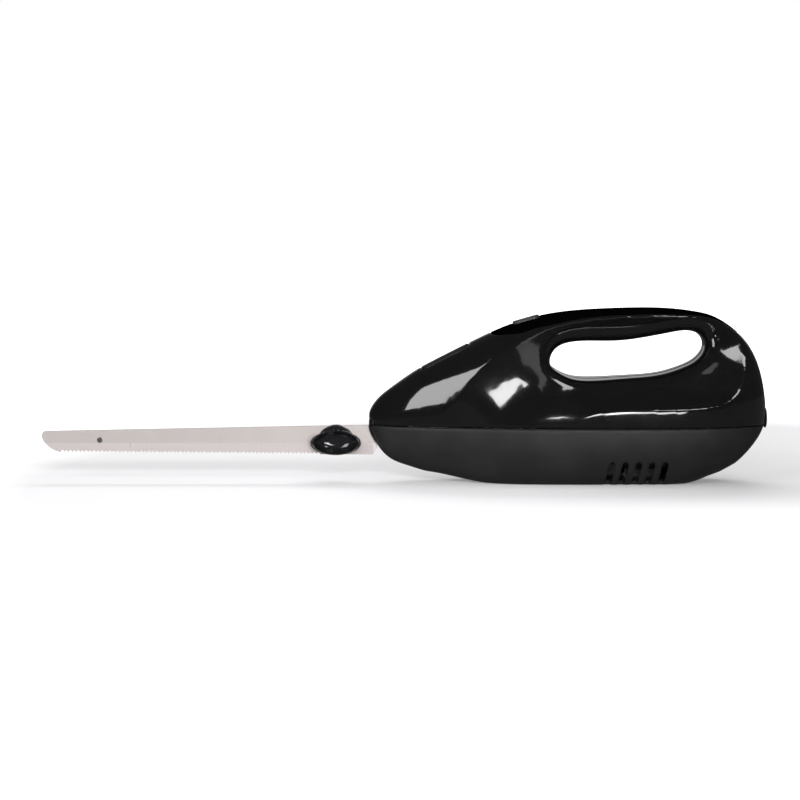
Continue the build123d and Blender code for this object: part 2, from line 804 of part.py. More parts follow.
# Blade guards: oval bowls that open away from the blades, with a flange against the blade
with BuildPart() as guard_left:
    for depth, share in ((0, guard_foot_share), (guard_width, 1)):
        with BuildSketch(Plane.XZ.offset(blade_outside + depth)):
            with Locations((guard_x, guard_z)):
                Ellipse(guard_length / 2 * share, guard_height / 2 * share)
    loft()
    for depth, share in ((guard_base, guard_floor_share), (guard_width, 1)):
        with BuildSketch(Plane.XZ.offset(blade_outside + depth)):
            with Locations((guard_x, guard_z)):
                Ellipse((guard_length / 2 - guard_ear) * share, (guard_height / 2 - guard_lip) * share)
    loft(mode=Mode.SUBTRACT)
    fillet(guard_left.faces().sort_by(Axis.Y)[0].edges(), radius=guard_lip / 3)
    with BuildSketch(Plane.XZ.offset(blade_outside)):
        with Locations((guard_x, flange_z)):
            Ellipse(flange_length / 2, flange_height / 2)
    extrude(amount=guard_base)
write(guard_left.part, "guard_left")
with BuildPart() as guard_right:
    add(mirror(guard_left.part, about=Plane.XZ, mode=Mode.PRIVATE))
write(guard_right.part, "guard_right")

# Drive arms: yoke round the eccentric, sloping arm, block that holds the blade's tang
yoke_half_width = eccentric_radius + part_gap
yoke_half_height = eccentric_radius + crank_radius + part_gap
arm_outside = arm_inside + arm_thickness
ring_half_width = yoke_half_width + yoke_wall
ring_half_height = yoke_half_height + yoke_wall
with BuildPart() as drive_arm_left:
    with BuildSketch(Plane.XZ.offset(arm_inside)):
        with Locations((gear_x, gear_z)):
            RectangleRounded(2 * ring_half_width, 2 * ring_half_height, yoke_corner + yoke_wall)
        with BuildLine():
            Polyline((gear_x - yoke_half_width, gear_z), (gear_x - ring_half_width, gear_z),
                     (block_rear, block_top), (block_rear, block_top - arm_depth),
                     (gear_x - yoke_half_width, gear_z - arm_depth), close=True)
        make_face()
        with Locations((gear_x, gear_z)):
            RectangleRounded(2 * yoke_half_width, 2 * yoke_half_height, yoke_corner, mode=Mode.SUBTRACT)
    extrude(amount=arm_thickness)
    add(side_box(block_front, block_rear, block_bottom, block_top, part_gap, arm_outside))
    add(side_box(block_front - overrun, tang_rear + part_gap, tang_bottom - part_gap, tang_top + part_gap,
                 0, blade_outside + part_gap), mode=Mode.SUBTRACT)
    add(side_box(tang_notch_front, tang_notch_front + tang_notch_length, tang_top, block_top + overrun,
                 0, arm_outside + overrun), mode=Mode.SUBTRACT)
write(drive_arm_left.part, "drive_arm_left")
with BuildPart() as drive_arm_right:
    add(mirror(drive_arm_left.part, about=Plane.XZ, mode=Mode.PRIVATE))
write(drive_arm_right.part, "drive_arm_right")

# Latch springs: a leaf outside each block, its finger over the notch in the tang
latch_bottom = guide_top + part_gap
with BuildPart() as latch_left:
    with BuildSketch(Plane.XZ.offset(arm_outside)):
        with BuildLine():
            Polyline((latch_front, latch_bottom), (block_rear, latch_bottom),
                     (latch_rear, latch_tail_top - latch_width), (latch_rear, latch_tail_top),
                     (latch_rear - latch_width, latch_tail_top),
                     (block_rear - latch_width, block_top - part_gap),
                     (latch_front, block_top - part_gap), close=True)
        make_face()
    extrude(amount=latch_thickness)
    add(side_box(tang_notch_front + part_gap, tang_notch_front + part_gap + latch_finger_length,
                 latch_bottom, block_top - part_gap, blade_outside, arm_outside))
    add(side_box(tang_notch_front + part_gap, tang_notch_front + part_gap + latch_finger_length,
                 tang_top + part_gap, block_top - part_gap, part_gap, blade_outside + latch_thickness))
write(latch_left.part, "latch_left")
with BuildPart() as latch_right:
    add(mirror(latch_left.part, about=Plane.XZ, mode=Mode.PRIVATE))
write(latch_right.part, "latch_right")

guide_inside = arm_outside + part_gap
with BuildPart() as slider_guide:
    with BuildSketch(Plane.XY.offset(guide_bottom)):
        with Locations(((guide_front + guide_rear) / 2, 0)):
            Rectangle(guide_rear - guide_front, 2 * (guide_inside + guide_wall))
    extrude(amount=guide_top - guide_bottom)
    with BuildSketch(Plane.XY.offset(guide_bottom + guide_wall)):
        with Locations(((guide_front + guide_rear) / 2, 0)):
            Rectangle(guide_rear - guide_front, 2 * guide_inside)
    extrude(amount=guide_top, mode=Mode.SUBTRACT)
write(slider_guide.part, "slider_guide")

# Worm wheel, eccentrics and axle
with BuildPart() as worm_wheel:
    with BuildSketch(Plane.XZ.offset(-wheel_width / 2)):
        with Locations((gear_x, gear_z)):
            Circle(wheel_radius - tooth_root)
            with PolarLocations(wheel_radius - tooth_root, wheel_teeth, start_angle=180 / wheel_teeth):
                Polygon((-tooth_root, -wheel_tooth_base / 2), (0, -wheel_tooth_base / 2),
                        (tooth_root + tooth_reach, -wheel_tooth_tip / 2),
                        (tooth_root + tooth_reach, wheel_tooth_tip / 2),
                        (0, wheel_tooth_base / 2), (-tooth_root, wheel_tooth_base / 2), align=None)
            Circle(axle_radius, mode=Mode.SUBTRACT)
    extrude(amount=wheel_width)
write(worm_wheel.part, "worm_wheel")

eccentric_thickness = arm_inside - part_gap - wheel_width / 2
for side, side_name in ((1, "left"), (-1, "right")):
    with BuildPart() as eccentric:
        with BuildSketch(Plane.XZ.offset(side * wheel_width / 2)):
            with Locations((gear_x, gear_z + side * crank_radius)):
                Circle(eccentric_radius)
            with Locations((gear_x, gear_z)):
                Circle(axle_radius, mode=Mode.SUBTRACT)
        extrude(amount=side * eccentric_thickness)
    write(eccentric.part, f"eccentric_{side_name}")

with BuildPart() as wheel_axle:
    with BuildSketch(Plane.XZ.offset(-axle_length / 2)):
        with Locations((gear_x, gear_z)):
            Circle(axle_radius)
    extrude(amount=axle_length)
write(wheel_axle.part, "wheel_axle")

frame_inside = frame_half_width - frame_sheet
for side, side_name in ((1, "left"), (-1, "right")):
    with BuildPart() as bush:
        with BuildSketch(Plane.XZ.offset(side * (frame_half_width - frame_sheet / 2 - bush_length / 2))):
            with Locations((gear_x, gear_z)):
                Circle(bush_radius)
                Circle(axle_radius + shaft_clearance, mode=Mode.SUBTRACT)
        extrude(amount=side * bush_length)
    write(bush.part, f"axle_bush_{side_name}")

with BuildPart() as gear_frame:
    with BuildSketch(Plane.XZ.offset(frame_inside)):
        with BuildLine():
            Polyline((frame_front, frame_bottom), (frame_rear, frame_bottom), (frame_rear, frame_wall_top),
                     (frame_top_rear, frame_top), (frame_top_front, frame_top),
                     (frame_front, frame_wall_top), close=True)
        make_face()
        with Locations((gear_x, gear_z)):
            Circle(bush_radius, mode=Mode.SUBTRACT)
    extrude(amount=frame_sheet)
    mirror(about=Plane.XZ)
    with BuildSketch(Plane.XY.offset(frame_bottom)):
        with Locations(((frame_front + frame_rear) / 2, 0)):
            Rectangle(frame_rear - frame_front, 2 * frame_half_width)
    extrude(amount=frame_sheet)
    with BuildSketch(Plane.YZ.offset(frame_rear - frame_sheet)):
        with Locations((0, (frame_bottom + frame_wall_top) / 2)):
            Rectangle(2 * frame_half_width, frame_wall_top - frame_bottom)
        with Locations((0, motor_z)):
            Circle(bearing_outer_radius, mode=Mode.SUBTRACT)
    extrude(amount=frame_sheet)
    with BuildSketch(Plane.YZ.offset(frame_front)):
        with Locations((0, (frame_bottom + frame_nose_top) / 2)):
            Rectangle(2 * frame_nose_half_width, frame_nose_top - frame_bottom)
        with Locations((0, motor_z)):
            Circle(shaft_radius + shaft_clearance, mode=Mode.SUBTRACT)
    extrude(amount=frame_sheet)
write(gear_frame.part, "gear_frame")


# Motor
def motor_plane(place):
    """Plane square to the motor shaft, centred on it."""
    return Plane(origin=(place, 0, motor_z), x_dir=(0, 1, 0), z_dir=(1, 0, 0))


def sector(inside, outside, middle, half_angle):
    """Part of a ring between two radii."""
    with BuildSketch() as ring:
        with BuildLine():
            inner = CenterArc((0, 0), inside, middle - half_angle, 2 * half_angle)
            outer = CenterArc((0, 0), outside, middle - half_angle, 2 * half_angle)
            Line(inner @ 0, outer @ 0)
            Line(inner @ 1, outer @ 1)
        make_face()
    return ring.sketch


with BuildPart() as motor_shaft:
    with BuildSketch(motor_plane(shaft_front)):
        Circle(shaft_radius)
    extrude(amount=shaft_rear - shaft_front)
write(motor_shaft.part, "motor_shaft")

with BuildPart() as worm:
    thread_front = gear_x - worm_turns * tooth_pitch / 2
    with BuildLine():
        thread_path = Helix(pitch=tooth_pitch, height=worm_turns * tooth_pitch,
                            radius=worm_pitch_radius - tooth_root,
                            center=(thread_front, 0, motor_z), direction=(1, 0, 0))
    with BuildSketch(Plane(origin=thread_path @ 0, x_dir=(1, 0, 0), z_dir=(0, -1, 0))):
        Polygon((-worm_thread_base / 2, -part_gap), (worm_thread_base / 2, -part_gap),
                (worm_thread_tip / 2, tooth_root + tooth_reach),
                (-worm_thread_tip / 2, tooth_root + tooth_reach), align=None)
    sweep(path=thread_path, is_frenet=True)
    with BuildSketch(motor_plane(gear_x - worm_length / 2)):
        Circle(worm_pitch_radius - tooth_root)
    extrude(amount=worm_length)
    with BuildSketch(motor_plane(gear_x - worm_length / 2)):
        Circle(shaft_radius)
    extrude(amount=worm_length, mode=Mode.SUBTRACT)
write(worm.part, "worm")

with BuildPart() as armature_core:
    with BuildSketch(motor_plane(stack_front)):
        Circle(core_radius)
        with PolarLocations(core_radius - core_slot_depth / 2, core_slots):
            Rectangle(core_slot_depth, core_slot_width, mode=Mode.SUBTRACT)
        Circle(shaft_radius, mode=Mode.SUBTRACT)
    extrude(amount=stack_length)
write(armature_core.part, "armature_core")

with BuildPart() as armature_windings:
    for front in (stack_front - winding_overhang, stack_front + stack_length):
        with BuildSketch(motor_plane(front)):
            Circle(winding_radius)
        extrude(amount=winding_overhang)
    fillet(armature_windings.edges().filter_by(GeomType.CIRCLE), radius=winding_round)
    with BuildSketch(motor_plane(stack_front - winding_overhang)):
        Circle(shaft_radius)
    extrude(amount=stack_length + 2 * winding_overhang, mode=Mode.SUBTRACT)
write(armature_windings.part, "armature_windings")

with BuildPart() as commutator:
    with BuildSketch(motor_plane(commutator_front)):
        Circle(commutator_radius)
        with PolarLocations(commutator_radius, commutator_bars):
            Rectangle(bar_groove, bar_groove, mode=Mode.SUBTRACT)
        Circle(shaft_radius, mode=Mode.SUBTRACT)
    extrude(amount=commutator_length)
write(commutator.part, "commutator")

with BuildPart() as cooling_fan:
    with BuildSketch(motor_plane(fan_front)):
        Circle(fan_hub_radius)
        with PolarLocations((fan_radius + shaft_radius) / 2, fan_blades):
            Rectangle(fan_radius - shaft_radius, fan_sheet)
        Circle(shaft_radius, mode=Mode.SUBTRACT)
    extrude(amount=fan_length)
    with BuildSketch(motor_plane(fan_front + fan_length - fan_sheet)):
        Circle(fan_radius)
        Circle(shaft_radius, mode=Mode.SUBTRACT)
    extrude(amount=fan_sheet)
write(cooling_fan.part, "cooling_fan")

coil_outer_radius = coil_inner_radius + coil_thickness
with BuildPart() as field_stack:
    with BuildSketch(motor_plane(stack_front)):
        RectangleRounded(stack_width, stack_height, stack_corner)
        Circle(core_radius + air_gap, mode=Mode.SUBTRACT)
    extrude(amount=stack_length)
    for middle in (90, -90):
        with BuildSketch(motor_plane(stack_front)):
            add(sector(core_radius + air_gap / 2, coil_outer_radius, middle, coil_outer_angle))
        extrude(amount=stack_length, mode=Mode.SUBTRACT)
    for middle in (90, -90):
        with BuildSketch(motor_plane(stack_front)):
            add(sector(core_radius + air_gap, coil_outer_radius, middle, coil_inner_angle))
        extrude(amount=stack_length)
write(field_stack.part, "field_stack")

for middle, coil_name in ((90, "upper"), (-90, "lower")):
    with BuildPart() as field_coil:
        with BuildSketch(motor_plane(stack_front - coil_overhang)):
            add(sector(coil_inner_radius, coil_outer_radius, middle, coil_outer_angle))
        extrude(amount=stack_length + 2 * coil_overhang)
        with BuildSketch(motor_plane(stack_front - coil_overhang + coil_end_width)):
            add(sector(coil_inner_radius - air_gap, coil_outer_radius + air_gap, middle, coil_inner_angle))
        extrude(amount=stack_length + 2 * (coil_overhang - coil_end_width), mode=Mode.SUBTRACT)
    write(field_coil.part, f"field_coil_{coil_name}")

for place, bearing_name in ((front_bearing_x, "front"), (rear_bearing_x, "rear")):
    with BuildPart() as bearing:
        with BuildSketch(motor_plane(place)):
            Circle(bearing_outer_radius)
            Circle(shaft_radius + shaft_clearance, mode=Mode.SUBTRACT)
        extrude(amount=bearing_length)
    write(bearing.part, f"{bearing_name}_bearing")

bracket_x = rear_bearing_x + (bearing_length - bracket_thickness) / 2
holder_bottom = motor_z - brush_side / 2 - holder_wall
with BuildPart() as rear_bracket:
    with BuildSketch(Plane.YZ.offset(bracket_x)):
        with Locations((0, (bracket_bottom + bracket_top) / 2)):
            Rectangle(bracket_width, bracket_top - bracket_bottom)
        with Locations((0, motor_z)):
            Circle(bearing_outer_radius, mode=Mode.SUBTRACT)
    extrude(amount=bracket_thickness)
    add(side_box(brush_x - brush_side / 2, bracket_x + bracket_thickness, holder_bottom - bracket_thickness,
                 holder_bottom, bracket_arm_inside, bracket_arm_outside))
    mirror(about=Plane.XZ)
write(rear_bracket.part, "rear_bracket")

for side, side_name in ((1, "left"), (-1, "right")):
    with BuildPart() as brush_holder:
        with BuildSketch(Plane.XZ.offset(side * holder_inside)):
            with Locations((brush_x, motor_z)):
                Rectangle(brush_side + 2 * holder_wall, brush_side + 2 * holder_wall)
                Rectangle(brush_side + 2 * brush_play, brush_side + 2 * brush_play, mode=Mode.SUBTRACT)
        extrude(amount=side * holder_length)
        with BuildSketch(Plane.XZ.offset(side * (holder_inside + holder_length))):
            with Locations((brush_x, motor_z)):
                Rectangle(brush_side + 2 * holder_wall, brush_side + 2 * holder_wall)
        extrude(amount=-side * holder_wall)
    write(brush_holder.part, f"brush_holder_{side_name}")
    with BuildPart() as carbon_brush:
        with BuildSketch(Plane.XZ.offset(side * (commutator_radius + part_gap))):
            with Locations((brush_x, motor_z)):
                Rectangle(brush_side, brush_side)
        extrude(amount=side * brush_length)
    write(carbon_brush.part, f"carbon_brush_{side_name}")
    spring_start = commutator_radius + part_gap + brush_length + spring_wire
    spring_plane = Plane(origin=(brush_x, -side * spring_start, motor_z), z_dir=(0, -side, 0))
    spring_length = holder_inside + holder_length - holder_wall - spring_wire - spring_start
    write(spring_coil(spring_plane, brush_coil_radius, spring_wire, spring_length, brush_coil_turns),
          f"brush_spring_{side_name}")

# Power button, its spring, and the switch under it
with BuildPart() as power_button:
    with BuildSketch(power_plane.offset(-button_depth)):
        RectangleRounded(button_length, button_width, button_corner)
    extrude(amount=button_depth + button_proud)
    fillet(power_button.faces().sort_by(Axis.Z)[-1].edges(), radius=button_proud / 2)
write(power_button.part, "power_button")

with BuildPart() as switch_plunger:
    with BuildSketch(power_plane.offset(-button_depth - part_gap - plunger_length)):
        with Locations((switch_offset, 0)):
            Circle(plunger_radius)
    extrude(amount=plunger_length)
write(switch_plunger.part, "switch_plunger")

with BuildPart() as switch_body:
    with BuildSketch(power_plane.offset(-switch_top - switch_height)):
        with Locations((switch_offset, 0)):
            Rectangle(switch_length, switch_width)
    extrude(amount=switch_height)
    with BuildSketch(power_plane.offset(-switch_top)):
        with Locations((switch_offset, 0)):
            Circle(plunger_radius + shaft_clearance)
    extrude(amount=-switch_bore_depth, mode=Mode.SUBTRACT)
write(switch_body.part, "switch_body")

button_spring_length = switch_top - button_depth - 2 * spring_wire
button_spring_plane = Plane(
    origin=power_plane.from_local_coords((switch_offset, 0, -switch_top + spring_wire)),
    x_dir=power_plane.x_dir, z_dir=power_plane.z_dir,
)
write(spring_coil(button_spring_plane, button_coil_radius, spring_wire, button_spring_length,
                  button_coil_turns), "button_spring")

# Release button with its stem and fork, and the spring under it
with BuildPart() as full_body:
    add(both_sides(outer_half))
with BuildPart() as release_button:
    with BuildSketch(release_plane.offset(-release_depth)):
        RectangleRounded(release_length, release_width, release_corner)
    extrude(amount=release_depth + overrun)
    add(full_body.part, mode=Mode.INTERSECT)
    with BuildSketch(release_plane.offset(-release_depth - release_stem_length)):
        with Locations((-release_stem_offset, 0)):
            Circle(release_stem_radius)
    extrude(amount=release_stem_length)
    with BuildSketch(release_plane.offset(-release_depth - release_stem_length - release_foot_depth)):
        with Locations((-release_stem_offset, 0)):
            Rectangle(release_foot_length, 2 * (prong_inside + prong_thickness))
    extrude(amount=release_foot_depth)
    with BuildSketch(release_plane.offset(-release_depth - release_stem_length - release_foot_depth)):
        for side in (-1, 1):
            with Locations((-release_stem_offset, side * (prong_inside + prong_thickness / 2))):
                Rectangle(release_foot_length, prong_thickness)
    extrude(amount=-prong_length)
write(release_button.part, "release_button")

release_spring_length = release_shelf - release_depth - 2 * spring_wire
release_spring_plane = Plane(
    origin=release_plane.from_local_coords((-release_stem_offset, 0, -release_shelf + spring_wire)),
    x_dir=release_plane.x_dir, z_dir=release_plane.z_dir,
)
write(spring_coil(release_spring_plane, release_coil_radius, spring_wire, release_spring_length,
                  release_coil_turns), "release_spring")

# Circuit board, its capacitor and the inner leads
with BuildPart() as circuit_board:
    with BuildSketch(Plane.XY.offset(board_bottom)):
        with Locations((board_front + board_length / 2, 0)):
            Rectangle(board_length, board_thickness)
    extrude(amount=board_height)
write(circuit_board.part, "circuit_board")

with BuildPart() as capacitor:
    add(side_box(board_front + (board_length - capacitor_length) / 2,
                 board_front + (board_length + capacitor_length) / 2,
                 board_bottom + (board_height - capacitor_height) / 2 + rib_thickness,
                 board_bottom + (board_height + capacitor_height) / 2 + rib_thickness,
                 board_thickness / 2, board_thickness / 2 + capacitor_depth))
write(capacitor.part, "capacitor")

for route, lead_name in ((supply_route, "supply"), (handle_route, "handle"), (motor_route, "motor")):
    with BuildPart() as lead:
        with BuildLine(Plane.XZ.offset(-board_thickness / 2 - lead_radius)):
            lead_path = FilletPolyline(*route, radius=lead_bend)
        with BuildSketch(Plane(origin=lead_path @ 0, z_dir=lead_path % 0)):
            Circle(lead_radius)
        sweep(path=lead_path)
    write(lead.part, f"{lead_name}_lead")
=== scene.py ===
import json
import math

import bmesh
import bpy
from mathutils import Matrix, Vector


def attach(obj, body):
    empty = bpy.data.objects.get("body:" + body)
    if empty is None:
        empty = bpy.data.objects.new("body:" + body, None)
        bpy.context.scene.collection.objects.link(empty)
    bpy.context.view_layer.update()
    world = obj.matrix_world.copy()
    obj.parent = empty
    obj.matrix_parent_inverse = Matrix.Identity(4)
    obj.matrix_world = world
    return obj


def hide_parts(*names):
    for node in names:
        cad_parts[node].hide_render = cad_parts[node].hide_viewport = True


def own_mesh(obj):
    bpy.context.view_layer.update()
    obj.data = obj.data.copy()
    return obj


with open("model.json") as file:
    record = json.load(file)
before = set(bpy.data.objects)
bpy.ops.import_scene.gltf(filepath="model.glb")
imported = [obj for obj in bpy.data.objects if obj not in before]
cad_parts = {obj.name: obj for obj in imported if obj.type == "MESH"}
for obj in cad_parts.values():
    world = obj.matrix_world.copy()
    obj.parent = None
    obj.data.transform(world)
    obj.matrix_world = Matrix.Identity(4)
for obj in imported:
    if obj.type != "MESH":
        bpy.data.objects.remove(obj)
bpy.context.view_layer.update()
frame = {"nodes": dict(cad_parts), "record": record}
nodes = frame["nodes"]
scene = bpy.context.scene
print("frame loaded:", len(nodes), "nodes")


# shading helpers
class Wire:
    # one shader value that takes + - * / and powers, each as a Math node
    def __init__(self, shading, socket):
        self.shading = shading
        self.socket = socket

    def maths(self, operation, *others):
        values = dict(enumerate((self,) + others))
        return self.shading.node("ShaderNodeMath", {"operation": operation}, values)

    def __add__(self, other):
        return self.maths("ADD", other)

    def __radd__(self, other):
        return self.maths("ADD", other)

    def __sub__(self, other):
        return self.maths("SUBTRACT", other)

    def __rsub__(self, other):
        return self.shading.node("ShaderNodeMath", {"operation": "SUBTRACT"}, {0: other, 1: self})

    def __mul__(self, other):
        return self.maths("MULTIPLY", other)

    def __rmul__(self, other):
        return self.maths("MULTIPLY", other)

    def __truediv__(self, other):
        return self.maths("DIVIDE", other)

    def __pow__(self, other):
        return self.maths("POWER", other)

    def above(self, level):
        return self.maths("GREATER_THAN", level)

    def below(self, level):
        return self.maths("LESS_THAN", level)


class Shading:
    # one node tree with its output node, and the method that adds every other node
    def __init__(self, tree, ending):
        self.tree = tree
        self.tree.nodes.clear()
        self.ending = self.tree.nodes.new(ending)

    def node(self, kind, settings, values, output=0):
        made = self.tree.nodes.new(kind)
        for name, value in settings.items():
            setattr(made, name, value)
        for name, value in values.items():
            if isinstance(value, Wire):
                self.tree.links.new(value.socket, made.inputs[name])
            else:
                made.inputs[name].default_value = value
        return Wire(self, made.outputs[output])

    def show(self, wire):
        self.tree.links.new(wire.socket, self.ending.inputs["Surface"])

    def ray(self, kind):
        return self.node("ShaderNodeLightPath", {}, {}, "Is " + kind + " Ray")


class Finish(Shading):
    # one material: a Principled shader with the fixed values given, and methods that build its pattern
    def __init__(self, name, **fixed):
        self.material = bpy.data.materials.new(name)
        self.material.use_nodes = True
        super().__init__(self.material.node_tree, "ShaderNodeOutputMaterial")
        values = {socket.replace("_", " "): value for socket, value in fixed.items()}
        self.principled = self.node("ShaderNodeBsdfPrincipled", {}, values)
        self.show(self.principled)
        self.place = self.node("ShaderNodeTexCoord", {}, {}, "Object")

    def feed(self, socket, wire):
        self.tree.links.new(wire.socket, self.principled.socket.node.inputs[socket])

    def stretched(self, scale):
        return self.node("ShaderNodeMapping", {}, {"Vector": self.place, "Scale": scale})

    def noise(self, scale, detail=3.0, where=None):
        values = {"Vector": where or self.place, "Scale": scale, "Detail": detail}
        return self.node("ShaderNodeTexNoise", {}, values)

    def blend(self, factor, first, second):
        # 6, 7 and 2 are the Mix node's two colours and its mixed colour
        return self.node("ShaderNodeMix", {"data_type": "RGBA"}, {"Factor": factor, 6: first, 7: second}, 2)

    def spread(self, wire, low, high, least=0.0, most=1.0):
        values = {"Value": wire, "From Min": low, "From Max": high, "To Min": least, "To Max": most}
        return self.node("ShaderNodeMapRange", {"clamp": True}, values)

    def bump(self, height, strength, distance):
        values = {"Height": height, "Strength": strength, "Distance": distance}
        self.feed("Normal", self.node("ShaderNodeBump", {}, values))

    def along(self, *axes):
        split = self.node("ShaderNodeSeparateXYZ", {}, {"Vector": self.place})
        return [Wire(self, split.socket.node.outputs[axis]) for axis in axes]


def rgb(*levels):
    return (*levels, 1.0)


noiseMiddle = (0.3, 0.7)  # where most of a noise's values lie

mouldedLook = {
    "coatRoughness": 0.03, "cloudScale": 55.0, "cloudDetail": 4.0, "cloudRange": (0.35, 0.75),
    "cloudShare": 0.6, "grainDetail": 2.0, "grainDepth": 0.0002,
}


def moulded(name, colour, roughness, grain=900.0, relief=0.10, uneven=0.06, coat=0.0, worn=1.35, shine=0.5):
    # moulded plastic or rubber: fine grain in relief, and soft clouds in its gloss and tone
    look = mouldedLook
    finish = Finish(name, Coat_Weight=coat, Coat_Roughness=look["coatRoughness"], Specular_IOR_Level=shine)
    cloud = finish.noise(look["cloudScale"], look["cloudDetail"])
    fine = finish.noise(grain, look["grainDetail"])
    clouded = rgb(*[level * worn for level in colour])
    finish.feed("Base Color", finish.blend(finish.spread(cloud, *look["cloudRange"]), rgb(*colour), clouded))
    gloss = cloud * look["cloudShare"] + fine * (1.0 - look["cloudShare"])
    finish.feed("Roughness", finish.spread(gloss, *noiseMiddle, roughness - uneven, roughness + uneven))
    finish.bump(fine, relief, look["grainDepth"])
    return finish


metalLook = {
    "streakDetail": 3.0, "cloudScale": 60.0, "cloudDetail": 3.0, "cloudShare": 0.5, "toneRange": (0.35, 0.65),
    "tone": 0.82, "smoothest": 0.7, "roughest": 1.3, "streakDepth": 0.0001,
}


def metal(name, colour, roughness, stretch=(1.0, 1.0, 1.0), grain=700.0, relief=0.08):
    # machined or rolled metal: streaks along one direction, slight tarnish clouds
    look = metalLook
    finish = Finish(name, Metallic=1.0)
    streak = finish.noise(grain, look["streakDetail"], finish.stretched(stretch))
    cloud = finish.noise(look["cloudScale"], look["cloudDetail"])
    darker = rgb(*[level * look["tone"] for level in colour])
    tarnish = cloud * look["cloudShare"] + streak * (1.0 - look["cloudShare"])
    finish.feed("Base Color", finish.blend(finish.spread(tarnish, *look["toneRange"]), rgb(*colour), darker))
    finish.feed("Roughness", finish.spread(streak, *noiseMiddle, roughness * look["smoothest"],
                                           roughness * look["roughest"]))
    finish.bump(streak, relief, look["streakDepth"])
    return finish


def striped(name, metallic, slant, waves, edge, between, crest, cloudScale, roughness, relief, depth):
    # thin lines across the motor's axis: stacked sheets, or wire wound on a slant
    finish = Finish(name, Metallic=metallic)
    alongX, alongY = finish.along("X", "Y")
    lines = finish.spread(((alongX + alongY * slant) * waves).maths("SINE"), -edge, edge)
    finish.feed("Base Color", finish.blend(lines, rgb(*between), rgb(*crest)))
    finish.feed("Roughness", finish.spread(finish.noise(cloudScale), *noiseMiddle, *roughness))
    finish.bump(lines, relief, depth)
    return finish


# finishes, one for each material slot
finishes = {}
plastics = {
    "gloss_black": dict(colour=(0.0025, 0.0025, 0.0028), roughness=0.08, grain=240.0, relief=0.008,
                        uneven=0.015, coat=0.6),
    "housing_grey": dict(colour=(0.011, 0.011, 0.0112), roughness=0.44, grain=1500.0, relief=0.16,
                         shine=0.30),
    "grip_rubber": dict(colour=(0.0006, 0.0006, 0.0006), roughness=0.85, grain=1200.0, relief=0.35,
                        uneven=0.05, shine=0.0),
    "button_plastic": dict(colour=(0.022, 0.022, 0.023), roughness=0.40, grain=1400.0, relief=0.15),
    "release_plastic": dict(colour=(0.005, 0.005, 0.0053), roughness=0.34, grain=1400.0, relief=0.10,
                            shine=0.4),
    "collar_plastic": dict(colour=(0.0015, 0.0015, 0.0015), roughness=0.55, grain=1400.0, relief=0.12,
                           shine=0.15),
    "gland_rubber": dict(colour=(0.006, 0.006, 0.0062), roughness=0.66, grain=1600.0, relief=0.25, shine=0.2),
    "guard_plastic": dict(colour=(0.018, 0.019, 0.021), roughness=0.14, grain=300.0, relief=0.02, uneven=0.03,
                          coat=0.5),
    "drive_plastic": dict(colour=(0.55, 0.56, 0.56), roughness=0.45, grain=1300.0, relief=0.12, worn=0.88),
    "gear_nylon": dict(colour=(0.72, 0.69, 0.60), roughness=0.38, grain=1100.0, relief=0.10, worn=0.88),
    "fan_plastic": dict(colour=(0.05, 0.16, 0.30), roughness=0.42, grain=1300.0, relief=0.12),
    "switch_plastic": dict(colour=(0.45, 0.06, 0.04), roughness=0.40, grain=1300.0, relief=0.10, worn=0.8),
    "capacitor_yellow": dict(colour=(0.75, 0.50, 0.08), roughness=0.35, grain=1200.0, relief=0.08, worn=0.85),
    "lead_insulation": dict(colour=(0.10, 0.22, 0.55), roughness=0.45, grain=1500.0, relief=0.10, worn=0.8),
    "board_green": dict(colour=(0.02, 0.16, 0.06), roughness=0.34, grain=800.0, relief=0.10),
    "brush_carbon": dict(colour=(0.025, 0.025, 0.026), roughness=0.62, grain=1600.0, relief=0.30),
}
for slotName, values in plastics.items():
    finishes[slotName] = moulded(slotName, **values)
metals = {
    "rivet_steel": dict(colour=(0.30, 0.29, 0.28), roughness=0.35),
    "screw_steel": dict(colour=(0.42, 0.42, 0.43), roughness=0.38, stretch=(1.0, 1.0, 8.0)),
    "spring_steel": dict(colour=(0.55, 0.55, 0.56), roughness=0.30),
    "shaft_steel": dict(colour=(0.62, 0.62, 0.63), roughness=0.26, stretch=(10.0, 1.0, 1.0)),
    "bearing_bronze": dict(colour=(0.55, 0.33, 0.13), roughness=0.42, grain=1200.0, relief=0.2),
    "holder_brass": dict(colour=(0.78, 0.56, 0.20), roughness=0.32, stretch=(1.0, 6.0, 1.0)),
}
for slotName, values in metals.items():
    finishes[slotName] = metal(slotName, **values)
stripes = {
    "lamination_steel": dict(metallic=0.9, slant=0.0, waves=9000.0, edge=0.6, between=(0.020, 0.019, 0.019),
                             crest=(0.065, 0.063, 0.062), cloudScale=500.0, roughness=(0.34, 0.55),
                             relief=0.4, depth=0.0001),
    "winding_copper": dict(metallic=0.85, slant=0.25, waves=8000.0, edge=0.8, between=(0.30, 0.09, 0.03),
                           crest=(0.72, 0.30, 0.12), cloudScale=400.0, roughness=(0.22, 0.42), relief=0.6,
                           depth=0.0003),
}
for slotName, values in stripes.items():
    finishes[slotName] = striped(slotName, **values)

# finger guards: centre, half lengths and half heights of the outline and of the bowl, and how far the bowl's
# floor and rim lie from the middle of the blades
guardValues = {
    "x": -0.1676, "z": 0.0255, "outline": (0.0163, 0.00785), "bowl": (0.0133, 0.0071), "floor": 0.0034,
    "rim": 0.01065, "rimDrop": 0.0004, "endDrop": 0.0009, "rimZone": 0.0015, "fullness": 3.0,
    "belowFloor": 0.0004, "facingIn": -0.05, "leastWidth": 0.001,
}

